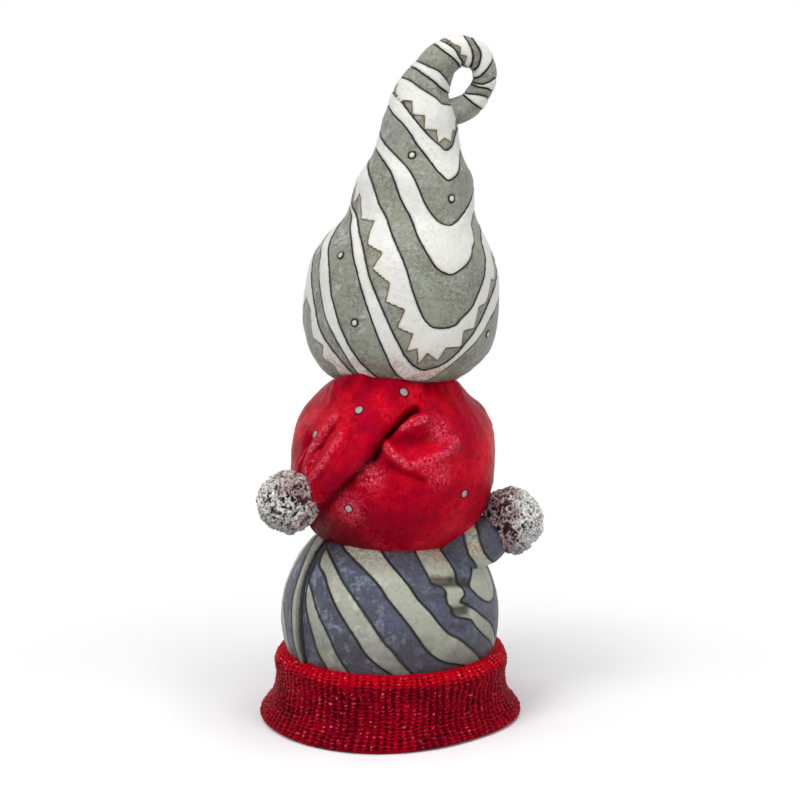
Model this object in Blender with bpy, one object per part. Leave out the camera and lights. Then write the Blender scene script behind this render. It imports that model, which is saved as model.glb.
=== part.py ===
"""Garden figurine: three knitted hats stacked on a ribbed cuff, cast in one piece.

The photographed side faces -Y, +X is to the right in the photograph, and the floor is z = 0.
Sizes are in millimetres until a mesh is made. An angle round a hat is in degrees, 0 at the
photographed side and growing towards +X.
"""

import math

import bmesh
import bpy
import numpy as np
from mathutils import Matrix, Vector, noise

METRES = 0.001
WELD_DISTANCE = 0.00005

# Knitted cuff that the figurine stands on
CUFF_HEIGHT = 56.0
CUFF_RADIUS = 93.5
CUFF_OFFSET = 1.6
CUFF_LIP_ROUND = 12.0
CUFF_FOOT_FLARE = 12.0
CUFF_FLARE_HEIGHT = 21.0
CUFF_FOOT_ROUND = 3.0
CUFF_FLAT_DEPTH = 9.0
CUFF_FLAT_ANGLE = 36.0
CUFF_FLAT_SPREAD = 34.0
CUFF_WAIST = 1.0
CUFF_RIB_DEPTH = 1.8

# Striped blue hat: a ball seated in the cuff
BLUE_RADIUS = 87.0
BLUE_OFFSET = 0.8
BLUE_SEAT_DEPTH = 63.0
BLUE_PLEAT_ROUND = 5.0
BLUE_PLEAT_SINK = 1.5
BLUE_GATHER_DEPTH = 3.5
BLUE_GATHER_WIDTH = 5.0

# Red hat: a squashed ball pressed onto the blue one, its crown folded over to the left
RED_RADIUS = 82.0
RED_HALF_HEIGHT = 78.0
RED_FULLNESS = 2.2
RED_SINK = 42.0
RED_OFFSET = 4.5
RED_FLAP_HEIGHT = 9.0
RED_CREASE_ROUND = 3.0
RED_FLAP_REACH = 58.0
RED_FLAP_END_REACH = 24.0
RED_UNDERCUT_WIDTH = 9.0
RED_ROLL_HEIGHT = 2.2
RED_ROLL_STANDOFF = 6.5
RED_ROLL_WIDTH = 4.0
RED_FOLD_HEIGHT = 6.0
RED_PILLOW_WIDTH = 6.5
RED_BROW_WIDTH = 5.5
RED_VALLEY_WIDTH = 5.5
RED_DIP_WIDTH = 4.5
RED_HOLLOW_WIDTH = 5.0
RED_SLOT_WIDTH = 3.2
RED_GATHER_WIDTH = 4.0
RED_COLLAR_WIDTH = 7.0
RED_SHOULDER_WIDTH = 8.0
RED_FLANK_WIDTH = 20.0

# Grey hat: its rim lies on the red hat, and its tip curls over to the right
GREY_SINK = 13.0
GREY_DEPTH_RATIO = 0.98
CURL_RISE = 232.0
CURL_REACH = 57.0

# Silver pompoms at the ends of the two tails
POMPOM_RADIUS = 23.0
POMPOM_TUFT_HEIGHT = 5.0
POMPOM_TUFT_WIDTH = 7.0
BLUE_POMPOM_WIDE = 0.94
BLUE_POMPOM_TALL = 1.17
BLUE_POMPOM_LEAN = -15.0
RED_TAIL_ANGLE = -55.7
RED_TAIL_DROP = 21.0
RED_TAIL_STANDOFF = 17.7
RED_TAIL_NECK = 15.0
BLUE_TAIL_REACH = 98.3
BLUE_TAIL_RISE = 79.0
BLUE_TAIL_FORWARD = 14.0
BLUE_TAIL_RADIUS = 21.0

# Facets
CUFF_WALE_COUNT = 100
BALL_SIDE_COUNT = 54
BALL_ROW_COUNT = 23
FRONT_CROWDING = 26.0
GREY_SIDE_COUNT = 40
GREY_ROW_COUNT = 40
POMPOM_CUT_COUNT = 6
TAIL_ROW_COUNT = 12
PLEAT_ROW_COUNT = 9

# Heights that follow from the sizes above
BLUE_CENTRE_Z = CUFF_HEIGHT - BLUE_SEAT_DEPTH + BLUE_RADIUS
RED_CENTRE_Z = BLUE_CENTRE_Z + BLUE_RADIUS - RED_SINK + RED_HALF_HEIGHT
GREY_RIM_Z = RED_CENTRE_Z + RED_HALF_HEIGHT - GREY_SINK

# Grey hat below its curl: sideways lean, height above the rim and radius of each ring
GREY_OUTLINE = (
    (6.8, 0.0, 46.5),
    (7.1, 12.0, 61.0),
    (8.8, 28.0, 72.0),
    (9.6, 48.0, 75.8),
    (10.6, 72.0, 75.3),
    (11.3, 96.0, 70.5),
    (13.0, 115.0, 60.0),
    (16.6, 128.0, 51.0),
    (18.2, 140.0, 47.8),
    (20.4, 157.0, 44.6),
    (22.2, 173.0, 35.8),
    (23.0, 187.0, 31.0),
    (24.0, 203.0, 28.4),
)
# Its curled tip: angle round the curl's eye, distance from it and radius of each ring
CURL_OUTLINE = (
    (199, 32.5, 21.5),
    (173, 24.5, 16.8),
    (137, 22.0, 14.0),
    (97, 21.6, 12.2),
    (61, 20.4, 10.7),
    (26, 18.2, 9.4),
    (-6, 16.0, 9.0),
    (-43, 15.8, 9.3),
    (-76, 19.6, 9.8),
    (-104, 24.5, 10.2),
    (-124, 29.5, 9.5),
)

# Ways of the two tails. Red: share of its pompom's x and y, height above it, and thickness as a
# share of the neck. Blue: share of its reach, distance forward of its pompom and below it, and
# thickness as a share of the tail's.
RED_TAIL_ROUTE = (
    (0.25, 0.60, 45.0, 1.3),
    (0.57, 0.75, 29.0, 1.42),
    (0.78, 0.76, 13.0, 1.0),
    (0.93, 0.86, 4.0, 0.6),
)
BLUE_TAIL_ROUTE = (
    (0.25, 0.0, 38.0, 0.9),
    (0.51, 10.0, 19.0, 1.0),
    (0.73, 5.0, 16.5, 0.93),
    (0.87, -2.0, 11.0, 0.68),
    (0.97, -4.0, 4.0, 0.45),
)

# Lines of the folds: angle round the hat, height above the middle of its ball
RED_CREASE = (
    (17.5, 52), (6, 45), (-4.5, 32.5), (-7.5, 27.5), (-11, 20), (-17, 11.5), (-22.5, 2.5), (-29, -6),
    (-36, -15), (-46, -26),
)
RED_SLOT = ((16, 48.5), (10, 46), (5, 41.5), (0, 37), (-4, 32.5))
RED_PILLOW = ((-4, 25), (-1, 21), (2, 17), (6, 12.5), (11, 12.5), (16, 15), (22, 17), (29, 20.5), (34, 27))
RED_BROW = ((5, 39), (12, 42), (19, 44))
RED_DIP = ((-8, 24), (-11, 17))
RED_VALLEY = ((2, 29), (10, 30), (21, 31))
RED_HOLLOW = ((-4, 14), (1, 10), (5, 6.5), (11, 4), (17, 0))
RED_COLLAR = ((-58, 62), (-20, 66), (20, 66), (60, 64))
RED_SHOULDER = ((-46, 60), (-34, 63), (-24, 64))
RED_SLOPE = ((78, 56), (112, 56))
RED_FLANK = ((84, 2), (84, -30))
RED_GATHERS = (
    ((-37, 37), (-41, 29), (-44, 20), (-48, 12)),
    ((-55.5, 27), (-57, 12), (-61, 2)),
)
RED_PLEATS = (
    ((-36, 43), (-42, 37), (-45, 30), (-49.5, 20), (-54.5, 7)),
    ((-28, 30), (-32, 20), (-37, 10), (-45, -2)),
)
BLUE_PLEAT = ((-61, 62), (-58, 48), (-56, 20), (-55, -5), (-54, -27))
BLUE_GATHERS = (
    ((29, 43), (34, 41), (39, 42)),
    ((37, 22), (41, 20), (45, 19)),
    ((16, 40), (24, 36)),
    ((26, 24), (34, 19)),
    ((34, 8), (42, 6)),
)


def collection(name):
    """A new collection, linked to the scene."""
    made = bpy.data.collections.new(name)
    bpy.context.scene.collection.children.link(made)
    return made


def clear_scene():
    """Remove every object, so that the script can be run again."""
    for thing in list(bpy.data.objects):
        bpy.data.objects.remove(thing, do_unlink=True)


def paint(name, colour, roughness, metallic=0.0):
    """A Principled material."""
    made = bpy.data.materials.new(name)
    made.use_nodes = True
    made.diffuse_color = (*colour, 1.0)
    shader = made.node_tree.nodes["Principled BSDF"]
    shader.inputs["Base Color"].default_value = (*colour, 1.0)
    shader.inputs["Roughness"].default_value = roughness
    shader.inputs["Metallic"].default_value = metallic
    return made


def smooth_line(points, count):
    """Evenly stepped rows on a smooth curve through the given points."""
    given = np.array(points, float)
    padded = np.vstack([2 * given[0] - given[1], given, 2 * given[-1] - given[-2]])
    at = np.linspace(0, len(given) - 1, count)
    start = np.minimum(at.astype(int), len(given) - 2)
    t = (at - start)[:, None]
    a, b, c, d = (padded[start + step] for step in range(4))
    return b + 0.5 * t * (c - a + t * (2 * a - 5 * b + 4 * c - d + t * (3 * (b - c) + d - a)))


def distance_to(line, angles, heights, radius):
    """Distance in millimetres from points on a ball to a line drawn on it.

    Also gives the side (positive above and to the left of a line drawn from upper right
    to lower left) and the share of the line's length passed at the nearest point.
    """
    ends = smooth_line(line, 4 * len(line))
    ends = np.stack([np.radians(ends[:, 0]) * radius, ends[:, 1]], 1)
    spots = np.stack([np.radians(angles) * radius, heights], -1)
    best = np.full(spots.shape[:-1], 1e9)
    side = np.zeros_like(best)
    share = np.zeros_like(best)
    for index in range(len(ends) - 1):
        start = ends[index]
        run = ends[index + 1] - start
        offset = spots - start
        t = np.clip(offset @ run / (run @ run), 0, 1)
        gap = np.linalg.norm(offset - t[..., None] * run, axis=-1)
        nearer = gap < best
        best = np.where(nearer, gap, best)
        cross = offset[..., 0] * run[1] - offset[..., 1] * run[0]
        side = np.where(nearer, np.sign(cross), side)
        share = np.where(nearer, (index + t) / (len(ends) - 1), share)
    return best, side, share


def ridge(line, angles, heights, radius, width):
    """A soft ridge along a line, 1 at its middle."""
    gap, _, _ = distance_to(line, angles, heights, radius)
    return np.exp(-((gap / width) ** 2))


def loft(name, rings, where, material):
    """A closed mesh through rings of points, from the lowest to the highest."""
    rows, sides, _ = rings.shape
    points = [tuple(point) for ring in rings for point in ring * METRES]
    points.append(tuple(rings[0].mean(axis=0) * METRES))
    points.append(tuple(rings[-1].mean(axis=0) * METRES))
    faces = []
    for row in range(rows - 1):
        for side in range(sides):
            low = row * sides + side
            low_next = row * sides + (side + 1) % sides
            faces.append((low, low_next, low_next + sides, low + sides))
    last = (rows - 1) * sides
    for side in range(sides):
        after = (side + 1) % sides
        faces.append((after, side, rows * sides))
        faces.append((last + side, last + after, rows * sides + 1))
    mesh = bpy.data.meshes.new(name)
    mesh.from_pydata(points, [], faces)
    return add(name, mesh, where, material)


def add(name, mesh, where, *materials):
    """An object made from a mesh, smooth apart from its sharp edges."""
    mesh.validate()
    mesh.shade_smooth()
    mesh.set_sharp_from_angle(angle=math.radians(50))
    for material in materials:
        mesh.materials.append(material)
    thing = bpy.data.objects.new(name, mesh)
    where.objects.link(thing)
    return thing


def as_operand(thing):
    """Show a shape that is fused into the figurine as wire, and keep it out of renders."""
    thing.hide_render = True
    thing.display_type = "WIRE"
    return thing


def polar_rings(radii, angles, heights, centre_x):
    """Points at given radii round an upright axis."""
    turn = np.radians(angles)
    return np.stack([centre_x + radii * np.sin(turn), -radii * np.cos(turn), heights], -1)


def cuff(where, material):
    """Turned-up knitted cuff: a ribbed wall with a rolled lip and a flared foot."""
    wall_top = CUFF_HEIGHT - CUFF_LIP_ROUND
    foot = CUFF_RADIUS + CUFF_FOOT_FLARE
    profile = [
        (foot - CUFF_FOOT_ROUND, 0.0, 0.0),
        (foot, CUFF_FOOT_ROUND, 0.6),
        (CUFF_RADIUS + 0.55 * CUFF_FOOT_FLARE, 0.45 * CUFF_FLARE_HEIGHT, 1.0),
        (CUFF_RADIUS + 0.12 * CUFF_FOOT_FLARE, 0.85 * CUFF_FLARE_HEIGHT, 1.0),
        (CUFF_RADIUS - CUFF_WAIST, 0.5 * (CUFF_FLARE_HEIGHT + wall_top), 1.0),
    ]
    for turn in np.radians(np.linspace(0, 90, 5)):
        inward = CUFF_LIP_ROUND * (1 - math.cos(turn))
        profile.append((CUFF_RADIUS - inward, wall_top + CUFF_LIP_ROUND * math.sin(turn), math.cos(turn)))
    radius, height, ribbed = (column[:, None] for column in np.array(profile).T)
    angles = np.linspace(-180, 180, 2 * CUFF_WALE_COUNT, endpoint=False)[None, :]
    ribs = np.where(np.arange(2 * CUFF_WALE_COUNT) % 2, 0.0, CUFF_RIB_DEPTH)
    flat = CUFF_FLAT_DEPTH * np.exp(-(((angles - CUFF_FLAT_ANGLE) / CUFF_FLAT_SPREAD) ** 2))
    radii = radius - ribs * ribbed - flat * np.clip(1 - height / wall_top, 0, 1)
    angles = np.broadcast_to(angles, radii.shape)
    heights = np.broadcast_to(height, radii.shape)
    return loft("cuff", polar_rings(radii, angles, heights, CUFF_OFFSET), where, material)


def ball_grid(half_height):
    """Angles and heights of a ball's rings, closer at its poles and at its folded front."""
    lean = np.linspace(-0.46 * math.pi, 0.46 * math.pi, BALL_ROW_COUNT)
    heights = half_height * np.sin(lean)
    angles = np.linspace(-180, 180, BALL_SIDE_COUNT, endpoint=False)
    angles -= FRONT_CROWDING * np.sin(np.radians(angles))
    return np.meshgrid(angles, heights)


def ball_radius(heights, half_height, radius, fullness):
    """Radius of a ball at a height above its middle."""
    share = np.clip(np.abs(heights) / half_height, 0, 1)
    return radius * (1 - share**fullness) ** (1 / fullness)


def blue_hat(where, material):
    """Blue ball, dented by the gathers under its tail and cut off inside the cuff."""
    angles, heights = ball_grid(BLUE_RADIUS)
    swell = np.zeros_like(angles)
    for line in BLUE_GATHERS:
        dent = ridge(line, angles, heights, BLUE_RADIUS, BLUE_GATHER_WIDTH)
        swell -= BLUE_GATHER_DEPTH * dent
    radii = ball_radius(heights, BLUE_RADIUS, BLUE_RADIUS, 2.0) * (1 + swell / BLUE_RADIUS)
    high = np.maximum(BLUE_CENTRE_Z + heights * (1 + swell / BLUE_RADIUS), CUFF_FOOT_ROUND)
    return loft("blue_hat", polar_rings(radii, angles, high, BLUE_OFFSET), where, material)


def blue_pleat(where, material):
    """Raised fold that runs down the left of the blue ball into the cuff."""
    line = smooth_line(BLUE_PLEAT, PLEAT_ROW_COUNT)
    out = BLUE_RADIUS - BLUE_PLEAT_SINK
    across = np.sqrt(out**2 - line[:, 1] ** 2)
    spots = polar_rings(across, line[:, 0], BLUE_CENTRE_Z + line[:, 1], BLUE_OFFSET)
    thick = BLUE_PLEAT_ROUND * np.sin(np.linspace(0.12, 0.8, len(line)) * math.pi)
    return tail("blue_pleat", np.hstack([spots, thick[:, None]]), where, material)


def red_swell(angles, heights):
    """How far the red hat's folds stand off its ball."""
    gap, side, share = distance_to(RED_CREASE, angles, heights, RED_RADIUS)
    reach = RED_FLAP_REACH + (RED_FLAP_END_REACH - RED_FLAP_REACH) * share
    grown = np.clip(6 * share, 0, 1)
    lift = RED_FLAP_HEIGHT * grown
    flap = lift * (1 - np.exp(-gap / RED_CREASE_ROUND)) * np.exp(-((gap / reach) ** 2))
    off_roll = (gap - RED_ROLL_STANDOFF) / RED_ROLL_WIDTH
    flap += RED_ROLL_HEIGHT * grown * np.exp(-(off_roll**2))
    under = 0.35 * lift * np.exp(-gap / RED_UNDERCUT_WIDTH)
    swell = np.where(side > 0, flap - under * np.exp(-gap), -under)
    folds = (
        (RED_PILLOW, RED_PILLOW_WIDTH, 1.0),
        (RED_BROW, RED_BROW_WIDTH, 0.5),
        (RED_VALLEY, RED_VALLEY_WIDTH, -0.6),
        (RED_DIP, RED_DIP_WIDTH, -0.5),
        (RED_HOLLOW, RED_HOLLOW_WIDTH, -0.5),
        (RED_SLOT, RED_SLOT_WIDTH, -0.9),
        (RED_COLLAR, RED_COLLAR_WIDTH, 0.95),
        (RED_SHOULDER, RED_SHOULDER_WIDTH, 0.9),
        (RED_SLOPE, RED_SHOULDER_WIDTH, -0.5),
        (RED_FLANK, RED_FLANK_WIDTH, -0.65),
        (RED_GATHERS[0], RED_GATHER_WIDTH, -0.6),
        (RED_GATHERS[1], RED_GATHER_WIDTH, -0.6),
        (RED_PLEATS[0], RED_GATHER_WIDTH, 0.5),
        (RED_PLEATS[1], RED_GATHER_WIDTH, 0.5),
    )
    for line, width, strength in folds:
        swell += strength * RED_FOLD_HEIGHT * ridge(line, angles, heights, RED_RADIUS, width)
    return swell


def red_hat(where, material):
    """Red ball with its crown folded down to the left, and pillow folds beside the crease."""
    angles, heights = ball_grid(RED_HALF_HEIGHT)
    swell = red_swell(angles, heights)
    across = ball_radius(heights, RED_HALF_HEIGHT, RED_RADIUS, RED_FULLNESS)
    radii = across * (1 + swell / RED_RADIUS)
    high = RED_CENTRE_Z + heights * (1 + swell / RED_RADIUS)
    return loft("red_hat", polar_rings(radii, angles, high, RED_OFFSET), where, material)


def grey_hat(where, material):
    """Tall grey hat on a spine in the x-z plane, its tip curled back into its side.

    The rings lie level up to the curl, and square to the spine round it.
    """
    lean, rise, radius = GREY_OUTLINE[0]
    stations = [(lean, GREY_RIM_Z - GREY_SINK, 0.85 * radius, 0.0)]
    for lean, rise, radius in GREY_OUTLINE:
        stations.append((lean, GREY_RIM_Z + rise, radius, 0.0))
    for turn, out, radius in CURL_OUTLINE:
        x = CURL_REACH + out * math.cos(math.radians(turn))
        z = GREY_RIM_Z + CURL_RISE + out * math.sin(math.radians(turn))
        stations.append((x, z, radius, 1.0))
    line = smooth_line(stations, GREY_ROW_COUNT)
    step = np.gradient(line[:, :2], axis=0)
    tilt = np.unwrap(np.arctan2(step[:, 0], step[:, 1])) * np.clip(line[:, 3], 0, 1)
    tilt = tilt[:, None]
    half_side = 180 / GREY_SIDE_COUNT
    turn = np.radians(np.linspace(-180, 180, GREY_SIDE_COUNT, endpoint=False) + half_side)
    sideways = line[:, 2:3] * np.sin(turn)
    x = line[:, 0:1] + sideways * np.cos(tilt)
    z = line[:, 1:2] - sideways * np.sin(tilt)
    y = -GREY_DEPTH_RATIO * line[:, 2:3] * np.cos(turn)
    return loft("grey_hat", np.stack([x, y, z], -1), where, material)


def tail(name, rows, where, material):
    """Tapered roll of knit: a bevelled curve turned into a welded mesh."""
    curve = bpy.data.curves.new(name, "CURVE")
    curve.dimensions = "3D"
    curve.bevel_depth = METRES
    curve.bevel_resolution = 4
    curve.use_fill_caps = True
    run = curve.splines.new("POLY")
    run.points.add(len(rows) - 1)
    for point, row in zip(run.points, rows):
        point.co = (*(row[:3] * METRES), 1.0)
        point.radius = row[3]
    drawn = bpy.data.objects.new(name + "_curve", curve)
    where.objects.link(drawn)
    shape = bpy.context.evaluated_depsgraph_get()
    mesh = bpy.data.meshes.new_from_object(drawn.evaluated_get(shape))
    bpy.data.objects.remove(drawn)
    model = bmesh.new()
    model.from_mesh(mesh)
    bmesh.ops.remove_doubles(model, verts=model.verts, dist=WELD_DISTANCE)
    bmesh.ops.recalc_face_normals(model, faces=model.faces)
    model.to_mesh(mesh)
    model.free()
    mesh.materials.clear()
    return add(name, mesh, where, material)


def pompom(name, centre, wide, tall, lean, where, material):
    """Crinkled ball: a divided cube made round, with raised tufts. A positive lean is to the right."""
    tilt = Matrix.Rotation(math.radians(lean), 3, "Y")
    model = bmesh.new()
    bmesh.ops.create_cube(model, size=2.0)
    bmesh.ops.subdivide_edges(model, edges=model.edges, cuts=POMPOM_CUT_COUNT, use_grid_fill=True)
    for vert in model.verts:
        out = vert.co.normalized()
        spot = out * (POMPOM_RADIUS / POMPOM_TUFT_WIDTH)
        near = noise.voronoi(spot + Vector(centre))[0][0]
        reach = POMPOM_RADIUS + POMPOM_TUFT_HEIGHT * (0.5 - near)
        stretched = Vector((wide * out.x, wide * out.y, tall * out.z)) * reach
        vert.co = (Vector(centre) + tilt @ stretched) * METRES
    mesh = bpy.data.meshes.new(name)
    model.to_mesh(mesh)
    model.free()
    return add(name, mesh, where, material)


def red_tail_end():
    """Middle of the left pompom."""
    turn = math.radians(RED_TAIL_ANGLE)
    across = ball_radius(RED_TAIL_DROP, RED_HALF_HEIGHT, RED_RADIUS, RED_FULLNESS)
    out = across + RED_TAIL_STANDOFF
    x = RED_OFFSET + out * math.sin(turn)
    return (x, -out * math.cos(turn), RED_CENTRE_Z - RED_TAIL_DROP)


def red_tail(where, material):
    """Neck of the red hat's folded crown, narrowing to its pompom."""
    x, y, z = red_tail_end()
    points = [
        (across * x, ahead * y, z + above, thick * RED_TAIL_NECK)
        for across, ahead, above, thick in RED_TAIL_ROUTE
    ]
    return tail("red_tail", smooth_line(points, TAIL_ROW_COUNT), where, material)


def blue_tail(where, material):
    """Tail of the blue hat, from under the red ball to its pompom."""
    z = BLUE_CENTRE_Z + BLUE_TAIL_RISE
    points = [
        (across * BLUE_TAIL_REACH, -BLUE_TAIL_FORWARD - ahead, z - below, thick * BLUE_TAIL_RADIUS)
        for across, ahead, below, thick in BLUE_TAIL_ROUTE
    ]
    return tail("blue_tail", smooth_line(points, TAIL_ROW_COUNT), where, material)


def build():
    """Model the figurine: every shape is made closed, then all are fused into one casting."""
    clear_scene()
    parts = collection("garden_figurine")
    fused = collection("fused_shapes")
    red = paint("red_paint", (0.45, 0.008, 0.018), 0.38)
    grey = paint("grey_paint", (0.26, 0.27, 0.22), 0.45)
    blue = paint("blue_paint", (0.105, 0.118, 0.18), 0.42)
    silver = paint("silver_paint", (0.6, 0.6, 0.58), 0.3, 0.9)
    figurine = cuff(parts, red)
    figurine.name = "figurine"
    blue_end = (BLUE_TAIL_REACH, -BLUE_TAIL_FORWARD, BLUE_CENTRE_Z + BLUE_TAIL_RISE)
    shapes = (
        blue_hat(fused, blue),
        blue_pleat(fused, blue),
        red_hat(fused, red),
        grey_hat(fused, grey),
        red_tail(fused, red),
        blue_tail(fused, blue),
        pompom("red_pompom", red_tail_end(), 1.0, 1.0, 0.0, fused, silver),
        pompom(
            "blue_pompom", blue_end, BLUE_POMPOM_WIDE, BLUE_POMPOM_TALL, BLUE_POMPOM_LEAN, fused, silver
        ),
    )
    for shape in shapes:
        as_operand(shape)
        union = figurine.modifiers.new("fuse_" + shape.name, "BOOLEAN")
        union.operation = "UNION"
        union.solver = "EXACT"
        union.use_self = shape.name == "grey_hat"
        union.material_mode = "TRANSFER"
        union.object = shape


build()
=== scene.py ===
"""Garden figurine: three knitted hats stacked on a ribbed cuff, seen from behind, cast in one piece.

Every piece rides on the frame's only node. Sizes are in millimetres until a mesh is made. An
angle round a hat is in degrees, 0 at the photographed side (-Y) and growing towards +X. Heights on
the blue and red hats are above the middle of their balls.
"""

import math

import bmesh
import bpy
import numpy as np
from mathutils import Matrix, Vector, noise


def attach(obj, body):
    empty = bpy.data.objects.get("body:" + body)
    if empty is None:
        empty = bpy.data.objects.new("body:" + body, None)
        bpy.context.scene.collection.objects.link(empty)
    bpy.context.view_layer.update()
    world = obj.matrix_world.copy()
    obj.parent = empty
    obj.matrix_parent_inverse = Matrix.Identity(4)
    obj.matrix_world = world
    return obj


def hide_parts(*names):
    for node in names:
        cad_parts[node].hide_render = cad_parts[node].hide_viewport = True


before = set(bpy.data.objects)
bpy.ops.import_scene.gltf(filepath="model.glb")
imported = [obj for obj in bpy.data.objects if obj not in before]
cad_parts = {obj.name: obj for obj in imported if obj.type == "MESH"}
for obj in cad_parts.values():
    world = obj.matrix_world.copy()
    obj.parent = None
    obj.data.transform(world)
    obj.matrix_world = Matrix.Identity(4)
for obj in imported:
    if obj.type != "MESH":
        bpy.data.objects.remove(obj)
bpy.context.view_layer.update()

METRES = 0.001
FAR = 1e9  # further than anything on the figurine

# Driving sizes, as in the CAD (the blue pompom is 1 mm nearer the middle)
CUFF_HEIGHT = 56.0
CUFF_RADIUS = 93.5
CUFF_OFFSET = 1.6
CUFF_LIP_ROUND = 12.0
CUFF_FOOT_FLARE = 12.0
CUFF_FLARE_HEIGHT = 21.0
CUFF_FOOT_ROUND = 3.0
CUFF_FLAT_DEPTH = 9.0
CUFF_FLAT_ANGLE = 36.0
CUFF_FLAT_SPREAD = 34.0
CUFF_WALES = 100
BLUE_RADIUS = 87.0
BLUE_OFFSET = 0.8
BLUE_CENTRE_Z = 80.0
RED_RADIUS = 82.0
RED_HALF_HEIGHT = 78.0
RED_FULLNESS = 2.2
RED_OFFSET = 4.5
RED_CENTRE_Z = 203.0
RED_FLAP_HEIGHT = 9.0
RED_CREASE_ROUND = 3.0
RED_FOLD_HEIGHT = 6.0
GREY_RIM_Z = 268.0
GREY_SINK = 13.0
GREY_DEPTH_RATIO = 0.98
CURL_RISE = 232.0
CURL_REACH = 57.0
POMPOM_RADIUS = 23.0
RED_POMPOM = (-76.1, -55.0, 182.0)
BLUE_POMPOM = (97.3, -14.0, 159.0)
RED_TAIL_NECK = 15.0
BLUE_TAIL_RADIUS = 21.0

# Knit of the cuff, in millimetres
KNIT_COURSE = 3.0
KNIT_RIB = 1.1
KNIT_BAR = 0.8
KNIT_HOLE = 1.3

# Middle line of the grey hat: x, height above its rim, and radius
GREY_OUTLINE = (
    (6.8, 0, 46.5), (7.1, 12, 61), (8.8, 28, 72), (9.6, 48, 75.8), (10.6, 72, 75.3),
    (11.3, 96, 70.5), (13, 115, 60), (16.6, 128, 51), (18.2, 140, 47.8), (20.4, 157, 44.6),
    (22.2, 173, 35.8), (23, 187, 31), (24, 203, 28.4),
)
# Its curl: turn round the curl's middle in degrees, distance from that middle, and radius
CURL_OUTLINE = (
    (199, 32.5, 21.5), (173, 24.5, 16.8), (137, 22, 14), (97, 21.6, 12.2), (61, 20.4, 10.7),
    (26, 18.2, 9.4), (-6, 16, 9), (-43, 15.8, 9.3), (-76, 19.6, 9.8), (-104, 24.5, 10.2),
    (-124, 29.5, 9.5),
)

# Lines painted on the grey hat, from its tip down: angle round it, and ring of the outline counted
# from the one hidden in the red hat. The paint changes between grey and white at each of them.
TIP_RINGS = (
    ((-61, 21.65), (1, 21.77), (43, 21.83)),
    ((-43, 20.87), (-6, 21.05), (65, 21.53)),
    ((-35, 20.39), (-7, 20.47), (30, 20.62)),
    ((-57, 19.61), (-22, 19.97), (11, 20.3), (50, 20.4)),
    ((-84, 18.59), (-31, 18.89), (6, 19.31), (27, 19.67), (60, 19.9)),
    ((-76, 17.44), (-43, 17.68), (-21, 18.05), (4, 18.41), (43, 18.77)),
    ((-64, 17.2), (-33, 17.38), (-4, 17.68), (25, 17.98), (78, 18.4)),
)
TIP_WEDGE = (
    (-85, 16.45), (-40, 16.66), (-24, 16.76), (-9, 17.05), (18, 17), (21, 17.5), (60, 17.45), (64, 17.75),
    (100, 17.6), (104, 17.3), (150, 17.2), (154, 16.9), (200, 16.8), (230, 16.55),
)
NECK_RINGS = (
    ((-73, 16.38), (-28, 16.58), (1, 16.78), (24, 16.88), (50, 17.2)),
    ((-86, 16.12), (-39, 16.18), (-8, 16.3), (19, 16.48), (69, 16.72)),
    ((-57, 15.28), (-19, 15.28), (12, 15.34), (36, 15.22), (89, 14.98)),
    ((-49, 14.86), (-16, 14.8), (14, 14.74), (42, 14.62)),
    ((-45, 14.3), (-7, 14.14), (27, 13.89), (43, 13.6)),
)
UPPER_TEETH = (
    (-63, 13.83), (-37, 13.59), (-16, 13.59), (-12, 13.11), (7, 13.05), (8, 12.45), (27, 12.39),
    (28, 11.79), (40, 12.03), (51, 11.85), (59, 12.45),
)
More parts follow.
